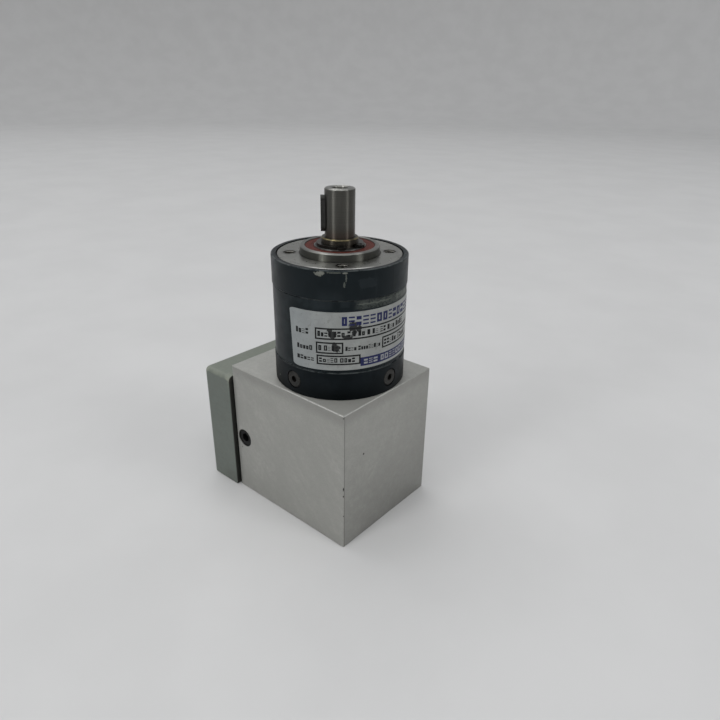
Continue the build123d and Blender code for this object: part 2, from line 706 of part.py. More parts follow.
# ---------------------------------------------------------------- all sub-parts
def bearing_nodes(name, bearing, sealed):
    nodes = {
        name + "_bearing_outer": bearing.outer_ring(),
        name + "_bearing_inner": bearing.inner_ring(),
        name + "_bearing_balls": bearing.ball_set(),
        name + "_bearing_cage": bearing.cage(),
    }
    if sealed:
        nodes[name + "_bearing_seals"] = bearing.seals(0.25, 0.7)
    return nodes


def all_nodes():
    nodes = {
        "housing_block": housing_block(),
        "side_cover": side_cover(),
        "cover_gasket": cover_gasket(),
        "cover_screws": cover_screws(),
        "input_ring": input_ring(),
        "ring_gear": ring_gear(),
        "output_ring": output_ring(),
        "front_flange": front_flange(),
        "radial_screws": radial_screws(),
        "name_plate": name_plate(),
        "seal_rings": seal_rings(),
        "output_shaft": output_shaft(),
        "shaft_key": shaft_key(),
        "shaft_circlip": shaft_circlip(),
        "rear_bearing_circlip": rear_bearing_circlip(),
        "carrier_plate": carrier_plate(),
        "carrier_screws": carrier_screws(),
        "planet_pins": planet_pins(),
        "planet_washers": planet_washers(),
        "sun_shaft": sun_shaft(),
        "sun_shaft_circlip": sun_shaft_circlip(),
        "input_bearing_circlip": input_bearing_circlip(),
        "coupling_hub_motor": coupling_hub_motor(),
        "coupling_hub_gear": coupling_hub_gear(),
        "coupling_spider": coupling_spider(),
        "coupling_clamp_screws": coupling_clamp_screws(),
    }
    for k in range(PLANETS):
        nodes[f"planet_gear_{k + 1}"] = planet_gear(k)
        nodes[f"planet_bush_{k + 1}"] = planet_bush(k)
    nodes.update(bearing_nodes("front", FRONT_BEARING, True))
    nodes.update(bearing_nodes("rear", REAR_BEARING, False))
    nodes.update(bearing_nodes("input", INPUT_BEARING, True))
    return nodes


def main():
    os.makedirs("parts", exist_ok=True)
    for name, shape in all_nodes().items():
        if isinstance(shape, list):
            shape = Compound(children=shape)
        export_step(shape, f"parts/{name}.step")


main()
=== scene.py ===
import math
import random

import bmesh
import bpy
from mathutils import Matrix, Vector


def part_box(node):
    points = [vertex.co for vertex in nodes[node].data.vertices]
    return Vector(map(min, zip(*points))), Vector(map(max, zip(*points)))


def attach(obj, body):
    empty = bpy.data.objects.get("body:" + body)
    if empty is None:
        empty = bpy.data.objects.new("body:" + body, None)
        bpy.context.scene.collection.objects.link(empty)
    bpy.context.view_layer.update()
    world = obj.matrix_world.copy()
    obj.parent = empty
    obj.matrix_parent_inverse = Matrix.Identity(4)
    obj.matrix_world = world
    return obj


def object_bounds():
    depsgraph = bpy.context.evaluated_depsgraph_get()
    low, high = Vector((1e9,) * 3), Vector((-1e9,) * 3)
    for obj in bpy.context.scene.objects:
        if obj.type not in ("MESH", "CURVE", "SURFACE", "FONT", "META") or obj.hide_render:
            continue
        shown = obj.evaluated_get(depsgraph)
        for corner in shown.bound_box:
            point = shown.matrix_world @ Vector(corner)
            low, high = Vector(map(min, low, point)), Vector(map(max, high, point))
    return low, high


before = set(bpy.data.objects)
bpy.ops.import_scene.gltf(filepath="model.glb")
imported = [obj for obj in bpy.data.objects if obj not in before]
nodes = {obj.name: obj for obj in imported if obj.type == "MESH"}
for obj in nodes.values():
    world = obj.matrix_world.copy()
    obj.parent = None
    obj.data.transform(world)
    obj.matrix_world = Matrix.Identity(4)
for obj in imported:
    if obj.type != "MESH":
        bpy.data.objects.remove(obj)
cad_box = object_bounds()

MM = 0.001

# Places that the looks share, read from the frame, in millimetres.


def box_mm(node):
    """Lowest and highest corner of a CAD node, in millimetres."""
    low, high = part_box(node)
    return low / MM, high / MM


BLOCK_LOW, BLOCK_HIGH = box_mm("housing_block")
BLOCK_TOP = box_mm("input_ring")[0].z
BLOCK_HIGH.z = BLOCK_TOP  # its boss rises on into the body
COVER_LOW, COVER_HIGH = box_mm("side_cover")
COVER_HIGH.x = box_mm("cover_gasket")[0].x  # its tongues go on into the block
BODY_R = box_mm("output_ring")[1].x
TOP_RING_TOP = box_mm("output_ring")[1].z
TOP_RING_LOW = box_mm("output_ring")[0].z
SEAM_LOW = box_mm("input_ring")[1].z
FLANGE_TOP = box_mm("front_flange")[1].z
FLANGE_R = box_mm("front_flange")[1].x
CLIP_TOP = box_mm("shaft_circlip")[1].z
SHAFT_TOP = box_mm("output_shaft")[1].z
PILOT_R = box_mm("front_bearing_outer")[1].x
SCREW_LOW, SCREW_HIGH = box_mm("cover_screws")
RADIAL_LOW, RADIAL_HIGH = box_mm("radial_screws")
SEAL_R = box_mm("front_bearing_seals")[1].x


# ---------------------------------------------------------------- shader help


class Nodes:
    """Short calls that add nodes to a tree. x, y and z are the parts of its place."""

    def __init__(self, tree, place_kind, scale):
        self.tree = tree
        place = self.node("ShaderNodeTexCoord").outputs[place_kind]
        self.place = self.vector("SCALE", place, scale=scale)
        split = self.node("ShaderNodeSeparateXYZ")
        self.link(self.place, split.inputs[0])
        self.x, self.y, self.z = split.outputs

    def node(self, kind):
        return self.tree.nodes.new(kind)

    def link(self, source, socket):
        self.tree.links.new(source, socket)

    def feed(self, value, socket):
        """Links an output to a socket, or sets the socket to a plain value."""
        if isinstance(value, bpy.types.NodeSocket):
            self.link(value, socket)
        else:
            socket.default_value = value

    def math(self, operation, *values):
        made = self.node("ShaderNodeMath")
        made.operation = operation
        for socket, value in zip(made.inputs, values):
            self.feed(value, socket)
        return made.outputs[0]

    def vector(self, operation, *values, scale=None):
        made = self.node("ShaderNodeVectorMath")
        made.operation = operation
        for socket, value in zip(made.inputs, values):
            self.feed(value, socket)
        if scale is not None:
            made.inputs["Scale"].default_value = scale
        single = operation in ("LENGTH", "DISTANCE", "DOT_PRODUCT")
        return made.outputs["Value" if single else "Vector"]

    def joined(self, x, y, z):
        """A vector made of three values."""
        made = self.node("ShaderNodeCombineXYZ")
        for socket, value in zip(made.inputs, (x, y, z)):
            self.feed(value, socket)
        return made.outputs[0]

    def stretched(self, x, y, z):
        """The place with its axes scaled, which draws a noise out along the axes scaled least."""
        return self.vector("MULTIPLY", self.place, (x, y, z))

    def noise(self, per_mm, detail=2.0, roughness=0.5, place=None):
        """Noise of so many features per millimetre."""
        made = self.node("ShaderNodeTexNoise")
        made.inputs["Scale"].default_value = per_mm
        made.inputs["Detail"].default_value = detail
        made.inputs["Roughness"].default_value = roughness
        self.link(place or self.place, made.inputs["Vector"])
        return made.outputs[0]

    def cells(self, per_mm, place=None):
        """Distance to the nearest of many scattered points."""
        made = self.node("ShaderNodeTexVoronoi")
        made.inputs["Scale"].default_value = per_mm
        self.link(place or self.place, made.inputs["Vector"])
        return made.outputs["Distance"]

    def ramp(self, kind, value, low, high, to_low, to_high):
        made = self.node("ShaderNodeMapRange")
        made.interpolation_type = kind
        names = ("Value", "From Min", "From Max", "To Min", "To Max")
        for name, given in zip(names, (value, low, high, to_low, to_high)):
            self.feed(given, made.inputs[name])
        return made.outputs["Result"]

    def step(self, value, low, high, to_low=0.0, to_high=1.0):
        """A smooth step from to_low, at low, to to_high, at high."""
        return self.ramp("SMOOTHSTEP", value, low, high, to_low, to_high)

    def line(self, value, low, high, to_low=0.0, to_high=1.0):
        """A straight ramp from to_low, at low, to to_high, at high."""
        return self.ramp("LINEAR", value, low, high, to_low, to_high)

    def mix(self, share, first, second):
        """The colour first, turned into second by share."""
        made = self.node("ShaderNodeMix")
        made.data_type = "RGBA"
        self.feed(share, made.inputs[0])
        for socket, given in ((made.inputs[6], first), (made.inputs[7], second)):
            self.feed((*given, 1) if isinstance(given, tuple) else given, socket)
        return made.outputs[2]

    def radius(self):
        """Distance from the body's axis."""
        return self.vector("LENGTH", self.joined(self.x, self.y, 0.0))

    def degrees(self):
        """Angle round the body's axis, from +X towards +Y."""
        return self.math("MULTIPLY", self.math("ARCTAN2", self.y, self.x), 180 / math.pi)

    def most(self, first, *others):
        """The largest of several masks."""
        for other in others:
            first = self.math("MAXIMUM", first, other)
        return first

    def times(self, first, *others):
        """The product of several masks."""
        for other in others:
            first = self.math("MULTIPLY", first, other)
        return first

    def band(self, value, low, high, soft):
        """1 between low and high, with soft sides."""
        rise = self.step(value, low - soft, low + soft)
        fall = self.step(value, high - soft, high + soft, 1.0, 0.0)
        return self.math("MULTIPLY", rise, fall)

    def spot(self, point, reach, rag=0.4, per_mm=1.2, soft=0.35):
        """1 near a point, out to reach, with an edge ragged by noise. The reach may differ by axis."""
        sides = reach if isinstance(reach, tuple) else (reach,) * 3
        away = self.vector("SUBTRACT", self.place, tuple(point))
        away = self.vector("MULTIPLY", away, tuple(1 / side for side in sides))
        distance = self.vector("LENGTH", away)
        ragged = self.math("MULTIPLY_ADD", self.noise(per_mm, 3.0, 0.6), rag * 2, -rag)
        return self.step(self.math("ADD", distance, ragged), 1.1 - soft, 1.1, 1.0, 0.0)


class Shader(Nodes):
    """A procedural material. Its patterns are laid out in millimetres of the row frame."""

    def __init__(self, name, color, metallic, roughness, specular=0.5):
        self.material = bpy.data.materials.new(name)
        self.material.use_nodes = True
        self.material.diffuse_color = (*color, 1)
        super().__init__(self.material.node_tree, "Object", 1 / MM)
        self.bsdf = self.tree.nodes["Principled BSDF"]
        self.bsdf.inputs["Base Color"].default_value = (*color, 1)
        self.bsdf.inputs["Metallic"].default_value = metallic
        self.bsdf.inputs["Roughness"].default_value = roughness
        self.bsdf.inputs["Specular IOR Level"].default_value = specular

    def paint(self, color):
        self.feed(color, self.bsdf.inputs["Base Color"])

    def stain(self, share, color):
        """Turns the colour so far into another, by a mask."""
        self.paint(self.mix(share, self.bsdf.inputs["Base Color"].links[0].from_socket, color))

    def brushed(self, amount):
        """Lines turned round the body's axis: a highlight spreads across them."""
        self.bsdf.inputs["Anisotropic"].default_value = amount
        self.bsdf.inputs["Anisotropic Rotation"].default_value = 0.25
        tangent = self.node("ShaderNodeTangent")
        tangent.direction_type = "RADIAL"
        tangent.axis = "Z"
        self.link(tangent.outputs[0], self.bsdf.inputs["Tangent"])

    def shine(self, roughness):
        self.feed(roughness, self.bsdf.inputs["Roughness"])

    def metal(self, share):
        self.feed(share, self.bsdf.inputs["Metallic"])

    def bump(self, height, depth_mm, strength=1.0):
        """Adds relief, on top of any relief already there."""
        made = self.node("ShaderNodeBump")
        made.inputs["Strength"].default_value = strength
        made.inputs["Distance"].default_value = depth_mm * MM
        self.link(height, made.inputs["Height"])
        socket = self.bsdf.inputs["Normal"]
        if socket.is_linked:
            self.link(socket.links[0].from_socket, made.inputs["Normal"])
        self.link(made.outputs["Normal"], socket)

    def box_edge(self, low, high):
        """Distance to the nearest edge of a box, where two of its faces meet."""
        gaps = []
        for axis, a, b in zip((self.x, self.y, self.z), low, high):
            half, middle = (b - a) / 2, (a + b) / 2
            off = self.math("ABSOLUTE", self.math("SUBTRACT", axis, middle))
            gaps.append(self.math("SUBTRACT", half, off))
        lowest = self.math("MINIMUM", self.math("MINIMUM", gaps[0], gaps[1]), gaps[2])
        highest = self.math("MAXIMUM", self.math("MAXIMUM", gaps[0], gaps[1]), gaps[2])
        total = self.math("ADD", self.math("ADD", gaps[0], gaps[1]), gaps[2])
        return self.math("SUBTRACT", self.math("SUBTRACT", total, lowest), highest)


def scaled(color, factor):
    return tuple(part * factor for part in color)


def on_body(angle, z):
    """A point on the round body, in millimetres."""
    turn = math.radians(angle)
    return (BODY_R * math.cos(turn), BODY_R * math.sin(turn), z)


# ---------------------------------------------------------------- materials


BLOCK_CORNER = Vector((BLOCK_HIGH.x, BLOCK_LOW.y, BLOCK_TOP))
FACE_DEPTH = 0.3
STAIN_SHADE = 0.84


def aluminium_block():
    """Satin block: fine blasted grain, faint cloudy stains, a few nicks, worn top edges also painted pale as
    a highlight near the front corner, a painted highlight on the top there, and painted shade low on the
    right face and round the cover screws.
    """
    base = (0.42, 0.42, 0.395)
    s = Shader("aluminium_block", base, 0.8, 0.45)
    grain = s.noise(2.6, 2.0, 0.6)
    tone = block_stains(s, base, grain)
    from_corner = s.vector("DISTANCE", s.place, BLOCK_CORNER)
    on_top = s.step(s.z, BLOCK_TOP - 0.1, BLOCK_TOP - 0.02)
    # Worn edges, painted pale and also used as a highlight that is strongest near the front corner.
    worn = block_wear_and_highlight(s, from_corner)
    tone = s.mix(worn, tone, (0.8, 0.8, 0.77))
    s.metal(s.math("SUBTRACT", 0.8, s.most(s.times(on_top, 0.35), s.times(worn, 0.4))))
    nicks = block_nicks(s)
    right_face = s.step(s.x, BLOCK_CORNER.x - FACE_DEPTH, BLOCK_CORNER.x)
    beside_edge = s.band(s.y, BLOCK_CORNER.y + 0.4, BLOCK_CORNER.y + 0.75, 0.15)
    tone = s.mix(s.times(beside_edge, right_face, 0.7), tone, scaled(base, 0.3))
    tone = s.mix(nicks, tone, (0.05, 0.048, 0.04))
    # Painted shade: near-black on the walls of the holes that the cover screws sit in.
    tone = s.mix(counterbore_shade(s), tone, (0.012, 0.012, 0.011))
    # Painted shade: the right face darkens towards its bottom and back.
    below_corner = s.math("MULTIPLY_ADD", s.y, 0.5, s.math("SUBTRACT", BLOCK_TOP, s.z))
    painted_shade_low_right = s.times(s.step(below_corner, 0.0, 74.0), right_face, 0.45)
    tone = s.mix(painted_shade_low_right, tone, scaled(base, 0.5))
    near_top = s.step(s.z, BLOCK_TOP - 7.0, BLOCK_TOP - 1.5)
    below_rim = s.step(s.z, BLOCK_TOP - 2 * FACE_DEPTH, BLOCK_TOP - FACE_DEPTH, 1.0, 0.0)
    tone = s.mix(s.times(near_top, below_rim, 0.55), tone, scaled(base, 0.66))
    # Painted highlight: the top is painted paler towards the front corner.
    lit = s.times(on_top, s.step(from_corner, 22.0, 46.0, 1.0, 0.0), 0.5)
    tone = s.mix(lit, tone, (0.58, 0.58, 0.54))
    s.paint(tone)
    rough = s.line(s.noise(0.35, 3.0, 0.6), 0.25, 0.75, 0.37, 0.5)
    s.shine(s.math("SUBTRACT", rough, s.times(worn, 0.15)))
    s.bump(grain, 0.02, 0.55)
    s.bump(s.noise(9.0, 1.0, 0.5), 0.006, 0.5)
    milled = s.noise(1.0, 2.0, 0.5, s.stretched(0.25, 0.25, 5.0))
    s.bump(milled, 0.006, 0.35)
    s.bump(s.math("SUBTRACT", 1.0, nicks), 0.25, 0.8)
    return s.material


def block_stains(s, base, grain):
    """The block's colour: clouds, long streaks, slanting wipe marks and a fine mottle."""
    slanted = s.math("MULTIPLY", s.math("SUBTRACT", s.x, s.z), 0.3)
    wiped = s.noise(0.22, 4.0, 0.62, s.joined(s.math("ADD", s.x, s.z), s.y, slanted))
    streak = s.noise(1.0, 3.0, 0.6, s.stretched(0.035, 0.035, 0.25))
    stained = scaled(base, STAIN_SHADE)
    tone = s.mix(s.step(s.noise(0.06, 3.0, 0.6), 0.3, 0.75), scaled(base, 0.9), scaled(base, 1.06))
    tone = s.mix(s.step(streak, 0.35, 0.7, 0.0, 0.45), tone, stained)
    tone = s.mix(s.step(wiped, 0.4, 0.6, 0.0, 0.8), tone, stained)
    tone = s.mix(s.step(s.noise(0.6, 3.0, 0.65), 0.38, 0.6, 0.0, 0.6), tone, stained)
    return s.mix(s.step(grain, 0.25, 0.8, 0.0, 0.5), tone, scaled(base, 1.14))


def block_wear_and_highlight(s, from_corner):
    """A mask of the worn edges, also used as a painted highlight: strongest at the top, by the corner between
    the two plain sides.
    """
    edge = s.step(s.box_edge(BLOCK_LOW, BLOCK_HIGH), 0.16, 0.4, 0.75, 0.0)
    near = s.step(from_corner, 14.0, 46.0, 1.0, 0.25)
    broken = s.step(s.noise(0.5, 3.0, 0.7), 0.3, 0.5, 0.35, 1.0)
    top = s.step(s.z, BLOCK_TOP - 1.0, BLOCK_TOP - 0.4, 0.06, 1.0)
    return s.times(edge, top, broken, near)


def block_nicks(s):
    """A mask of the nicks: four down the corner's edge, and a pit in each side beside it."""
    corner_x, corner_y, top = BLOCK_CORNER
    return s.most(
        s.spot((corner_x, corner_y, 30.0), (0.45, 0.45, 1.3), 0.5, 2.0),
        s.spot((corner_x, corner_y, 26.5), (0.4, 0.4, 0.8), 0.5, 2.0),
        s.spot((corner_x, corner_y, 16.5), (0.35, 0.35, 0.5), 0.5, 2.0),
        s.spot((corner_x, corner_y, top - 1.0), (0.45, 0.45, 0.5), 0.4, 2.0),
        s.spot((corner_x, corner_y + 12.1, 41.3), 0.5, 0.1, 2.0),
        s.spot((BLOCK_LOW.x + 3.2, corner_y, 22.6), 0.3, 0.1, 2.0),
    )


def counterbore_shade(s):
    """Painted shade on the walls of the two holes that the cover screws sit in."""
    middle = (SCREW_LOW + SCREW_HIGH) / 2
    off_x = s.math("SUBTRACT", s.x, middle.x)
    off_z = s.math("SUBTRACT", s.z, middle.z)
    away = s.vector("LENGTH", s.joined(off_x, 0.0, off_z))
    bore_r = (SCREW_HIGH.x - SCREW_LOW.x) / 2 + 0.1
    below = s.step(s.math("ABSOLUTE", s.y), BLOCK_HIGH.y - 0.5, BLOCK_HIGH.y - 0.2, 1.0, 0.0)
    return s.times(s.step(away, bore_r + 0.05, bore_r + 0.25, 1.0, 0.0), below)


def green_paint():
    """Semi-matt machine paint with fine orange peel, rubbed pale at the corners and edges."""
    base = (0.118, 0.136, 0.118)
    s = Shader("grey_green_paint", base, 0.0, 0.42)
    cloud = s.noise(0.05, 3.0, 0.6)
    peel = s.noise(1.1, 2.0, 0.5)
    grain = s.noise(5.0, 2.0, 0.6)
    tone = s.mix(s.step(cloud, 0.3, 0.75), scaled(base, 0.92), scaled(base, 1.08))
    tone = s.mix(s.step(grain, 0.3, 0.8, 0.0, 0.4), tone, scaled(base, 1.18))
    edge = s.box_edge(COVER_LOW, COVER_HIGH)
    high = s.step(s.z, COVER_HIGH.z - 9.0, COVER_HIGH.z - 3.0)
    patches = s.step(s.noise(0.28, 3.0, 0.65), 0.36, 0.62)
    rubbed = s.times(s.step(edge, 0.9, 2.4, 1.0, 0.0), patches, high)
    tone = s.mix(s.math("MULTIPLY", rubbed, 0.5), tone, (0.3, 0.315, 0.255))
    front_corner = (COVER_HIGH.x, COVER_LOW.y + 1.0, COVER_HIGH.z)
    bare = s.most(
        s.spot(front_corner, (3.6, 3.2, 2.6), 0.5, 0.5),
        s.spot((COVER_LOW.x + 1.0, COVER_LOW.y + 1.0, COVER_HIGH.z - 1.0), 2.4, 0.5, 0.8),
    )
    tone = s.mix(s.math("MULTIPLY", bare, 0.55), tone, (0.36, 0.37, 0.3))
    dirt = s.spot((COVER_HIGH.x - 2.0, COVER_LOW.y, 3.0), (7.0, 1.2, 4.0), 0.5, 0.5)
    tone = s.mix(s.math("MULTIPLY", dirt, 0.35), tone, (0.07, 0.07, 0.06))
    streaks = s.noise(1.0, 3.0, 0.6, s.stretched(0.12, 0.12, 1.1))
    tone = s.mix(s.step(streaks, 0.35, 0.75, 0.0, 0.3), tone, scaled(base, 0.8))
    # Paler towards the top, over the top 2.6 mm.
    paler = s.step(s.z, COVER_HIGH.z - 2.6, COVER_HIGH.z - 0.2, 0.0, 0.75)
    tone = s.mix(paler, tone, (0.195, 0.215, 0.178))
    inner_face = s.step(s.x, COVER_HIGH.x - 0.25, COVER_HIGH.x - 0.1)
    tone = s.mix(s.math("MULTIPLY", inner_face, 0.92), tone, (0.012, 0.011, 0.009))
    s.paint(tone)
    s.shine(s.line(s.noise(0.5, 3.0, 0.6), 0.25, 0.75, 0.36, 0.52))
    s.bump(peel, 0.05, 0.5)
    s.bump(grain, 0.012, 0.5)
    return s.material


def dark_gasket():
    base = (0.022, 0.021, 0.02)
    s = Shader("gasket_rubber", base, 0.0, 0.7)
    fibre = s.noise(2.2, 3.0, 0.6)
    s.paint(s.mix(s.step(fibre, 0.3, 0.75), base, (0.05, 0.047, 0.042)))
    s.bump(fibre, 0.04, 0.6)
    return s.material


def blackened(name, marks, specular=0.2):
    """Black oxide on a turned ring: fine turned lines, soft handling stains and the marks asked for."""
    base = (0.0042, 0.0055, 0.0068)
    s = Shader(name, base, 0.0, 0.34, specular)
    s.bsdf.inputs["Specular Tint"].default_value = (0.72, 0.93, 1.0, 1)
    height, angle = s.z, s.degrees()
    turned = s.noise(1.0, 2.0, 0.6, s.joined(0.0, 0.0, s.math("MULTIPLY", height, 4.5)))
    cloud = s.noise(0.09, 3.0, 0.6)
    speck = s.noise(3.0, 3.0, 0.65)
    tone = s.mix(s.step(cloud, 0.35, 0.7), scaled(base, 0.8), scaled(base, 1.35))
    tone = s.mix(s.step(turned, 0.35, 0.8, 0.0, 0.35), tone, scaled(base, 1.7))
    tone = s.mix(s.step(speck, 0.62, 0.78, 0.0, 0.4), tone, (0.018, 0.02, 0.021))
    rough = s.line(s.noise(0.22, 4.0, 0.65), 0.25, 0.75, 0.3, 0.46)
    for kind, mask in marks(s, angle):
        strength, color, roughness = MARK_KINDS[kind]
        share = s.math("MULTIPLY", mask, strength)
        tone = s.mix(share, tone, color)
        gap = s.math("SUBTRACT", roughness, rough)
        rough = s.math("MULTIPLY_ADD", gap, share, rough)
    s.paint(tone)
    s.shine(rough)
    s.bump(turned, 0.006, 0.5)
    s.bump(speck, 0.006, 0.4)
    return s.material


# How strongly each kind of mark covers the black, its colour and its roughness.
MARK_KINDS = {
    "haze": (0.3, (0.028, 0.034, 0.038), 0.5),
    "glue": (0.75, (0.068, 0.074, 0.066), 0.5),
    "film": (0.65, (0.12, 0.128, 0.112), 0.4),
    "scuff": (0.85, (0.19, 0.195, 0.17), 0.5),
    # edge: rubbed rims that are also a painted highlight.
    "edge": (0.6, (0.1, 0.11, 0.11), 0.3),
    "shade": (0.85, (0.0012, 0.0016, 0.002), 0.5),
}


def rubbed_and_highlit_rims(s, low, high):
    """Thin rubbed lines at the two rims of a ring, which also serve as a painted highlight."""
    broken = s.step(s.noise(0.35, 3.0, 0.65), 0.35, 0.6)
    rims = s.most(s.step(s.z, low + 0.12, low + 0.4, 1.0, 0.0), s.step(s.z, high - 0.4, high - 0.12))
    outer = s.step(s.radius(), BODY_R - 0.8, BODY_R - 0.4)
    return s.times(rims, broken, outer)


def top_ring_marks(s, angle):
    """Paint scuffs under the lip, with faint smears lower down."""
    top, rim = TOP_RING_TOP, TOP_RING_LOW
    streaks = s.noise(1.0, 3.0, 0.6, s.stretched(0.5, 0.5, 0.06))
    return (
        ("haze", s.times(s.band(angle, -60.0, 40.0, 25.0), s.step(streaks, 0.5, 0.75, 0.0, 0.5))),
        ("haze", s.times(s.step(s.z, rim + 1.0, rim + 6.0, 1.0, 0.0), s.band(angle, -64.0, -46.0, 5.0))),
        ("haze", s.times(s.band(angle, 5.0, 50.0, 8.0), s.step(s.noise(0.35, 3.0, 0.6), 0.42, 0.55))),
        ("edge", rubbed_and_highlit_rims(s, rim, top)),
        ("scuff", s.spot(on_body(-64.0, top - 1.3), (1.7, 1.7, 0.9), 0.9, 1.1)),
        ("scuff", s.spot(on_body(-61.5, top - 0.9), (1.1, 1.1, 0.7), 0.8, 1.8)),
        ("film", s.spot(on_body(-52.0, top - 0.7), (3.2, 3.2, 0.3), 0.9, 1.3)),
        ("scuff", s.spot(on_body(-43.5, top - 0.8), (1.0, 1.0, 0.35), 0.8, 1.8)),
        ("film", s.spot(on_body(-42.8, top - 2.6), (0.3, 0.3, 1.8), 0.8, 2.2)),
        ("film", s.spot(on_body(-44.2, top - 5.2), (0.4, 0.4, 1.1), 0.7, 2.2)),
        ("haze", s.spot(on_body(-26.0, top - 5.0), (4.0, 4.0, 2.0), 0.9, 0.4)),
    )


def middle_ring_marks(s, angle):
    """Old glue and a rubbed film over the plate's top edge."""
    top, low = TOP_RING_LOW, SEAM_LOW
    above_plate = s.band(s.z, top - 3.6, top + 1.0, 0.25)
    patchy = s.step(s.noise(0.7, 4.0, 0.65), 0.36, 0.56, 0.25, 1.0)
    ragged_rim = s.math("MULTIPLY_ADD", s.noise(0.6, 3.0, 0.6), 1.6, -0.8)
    rim_line = s.math("ADD", s.z, ragged_rim)
    return (
        ("haze", s.times(s.band(angle, -150.0, -60.0, 12.0), s.step(s.noise(0.16, 3.0, 0.6), 0.45, 0.6))),
        ("haze", s.times(s.band(s.z, top - 3.3, top, 0.4), s.band(angle, -68.0, -54.0, 2.0))),
        ("haze", s.times(s.band(s.z, top - 2.6, top, 0.4), s.band(angle, -47.0, -40.0, 1.5))),
        ("glue", s.times(above_plate, s.band(angle, -34.0, 48.0, 5.0), patchy)),
        ("film", s.times(s.band(rim_line, top - 1.9, top - 1.35, 0.12), s.band(angle, -33.0, -2.0, 2.0))),
        ("film", s.times(s.band(rim_line, top - 2.7, top - 0.6, 0.3), s.band(angle, 4.0, 40.0, 3.0), patchy)),
        ("edge", rubbed_and_highlit_rims(s, low, top)),
    )


RADIAL_SCREW_Z = (RADIAL_LOW.z + RADIAL_HIGH.z) / 2
RADIAL_BORE_R = (RADIAL_HIGH.z - RADIAL_LOW.z) / 2 + 0.2


def lower_ring_marks(s, angle):
    """Dark walls to the radial screws' bores, and a dark foot."""
    side = s.math("MINIMUM", s.math("ABSOLUTE", s.x), s.math("ABSOLUTE", s.y))
    from_screw = s.vector("LENGTH", s.joined(side, s.math("SUBTRACT", s.z, RADIAL_SCREW_Z), 0.0))
    return (
        ("shade", s.step(from_screw, RADIAL_BORE_R + 0.05, RADIAL_BORE_R + 0.3, 1.0, 0.0)),
        ("haze", s.step(s.noise(0.14, 3.0, 0.6), 0.52, 0.7, 0.0, 0.4)),
        ("shade", s.step(s.z, BLOCK_TOP + 1.0, BLOCK_TOP + 9.0, 1.0, 0.0)),
        ("edge", rubbed_and_highlit_rims(s, BLOCK_TOP, SEAM_LOW)),
        ("scuff", s.spot(on_body(-112.0, SEAM_LOW - 8.0), (0.35, 0.35, 0.35), 0.3, 2.0)),
        ("film", s.spot(on_body(24.0, BLOCK_TOP + 2.0), (0.6, 0.6, 0.35), 0.5, 1.6)),
    )


def turned_steel(name, base, roughness, ring_per_mm=3.0, stain=0.15, anisotropy=0.55):
    """Lathe-turned steel: fine circles round the axis, clouds of handling stain."""
    s = Shader(name, base, 1.0, roughness)
    across = s.math("MULTIPLY", s.radius(), ring_per_mm)
    along = s.math("MULTIPLY", s.z, ring_per_mm)
    circles = s.noise(1.0, 3.0, 0.65, s.joined(across, along, 0.0))
    cloud = s.noise(0.16, 4.0, 0.62)
    speck = s.noise(2.4, 3.0, 0.6)
    tone = s.mix(s.step(circles, 0.3, 0.75), scaled(base, 0.85), scaled(base, 1.1))
    tone = s.mix(s.step(cloud, 0.4, 0.72, 0.0, stain), tone, scaled(base, 0.45))
    tone = s.mix(s.step(speck, 0.62, 0.78, 0.0, 0.1), tone, scaled(base, 0.75))
    s.paint(tone)
    s.shine(s.line(s.noise(0.5, 3.0, 0.6), 0.25, 0.75, roughness * 0.85, roughness * 1.15))
    s.brushed(anisotropy)
    s.bump(circles, 0.004, 0.5)
    return s


HOLE_CIRCLE_R = 20.0
HOLE_REACH = HOLE_CIRCLE_R / math.sqrt(2)
HOLE_R = 2.62
THREAD_PITCH = 0.7


def flange_steel():
    """The faced disc: satin circles, stains round its four tapped holes, painted shade down the holes with
    painted glints on their crests, and a painted highlight along the front of its rim.
    """
    s = turned_steel("flange_steel", (0.37, 0.37, 0.345), 0.3, 2.2, 0.3, 0.6)
    off_x = s.math("SUBTRACT", s.math("ABSOLUTE", s.x), HOLE_REACH)
    off_y = s.math("SUBTRACT", s.math("ABSOLUTE", s.y), HOLE_REACH)
    away = s.vector("LENGTH", s.joined(off_x, off_y, 0.0))
    below = s.step(s.z, FLANGE_TOP - 0.06, FLANGE_TOP - 0.02, 1.0, 0.0)
    # Painted shade down the tapped holes.
    hole_shade = s.times(s.step(away, HOLE_R, HOLE_R + 0.2, 1.0, 0.0), below)
    # Painted highlight: a pale, less metallic band along the front of the disc's rim.
    front = s.band(s.degrees(), -74.0, -20.0, 8.0)
    rim = s.times(s.band(s.radius(), FLANGE_R - 1.0, FLANGE_R + 0.5, 0.2), front)
    s.stain(rim, (0.88, 0.88, 0.85))
    s.metal(s.math("MULTIPLY_ADD", rim, -0.5, 1.0))
    s.stain(s.step(away, HOLE_R + 0.2, HOLE_R + 2.2, 0.35, 0.0), (0.12, 0.12, 0.11))
    s.stain(hole_shade, (0.018, 0.017, 0.015))
    # Painted glints: paler crests down the tapped holes.
    crests = s.math("SINE", s.math("MULTIPLY", s.z, 2 * math.pi / THREAD_PITCH))
    s.stain(s.times(s.step(crests, 0.3, 0.9), hole_shade, s.step(away, 1.8, 2.0)), (0.2, 0.195, 0.175))
    s.bump(s.times(crests, hole_shade), 0.12, 0.8)
    return s.material


COLLAR_RISE = 2.2
COLLAR_R = 7.1


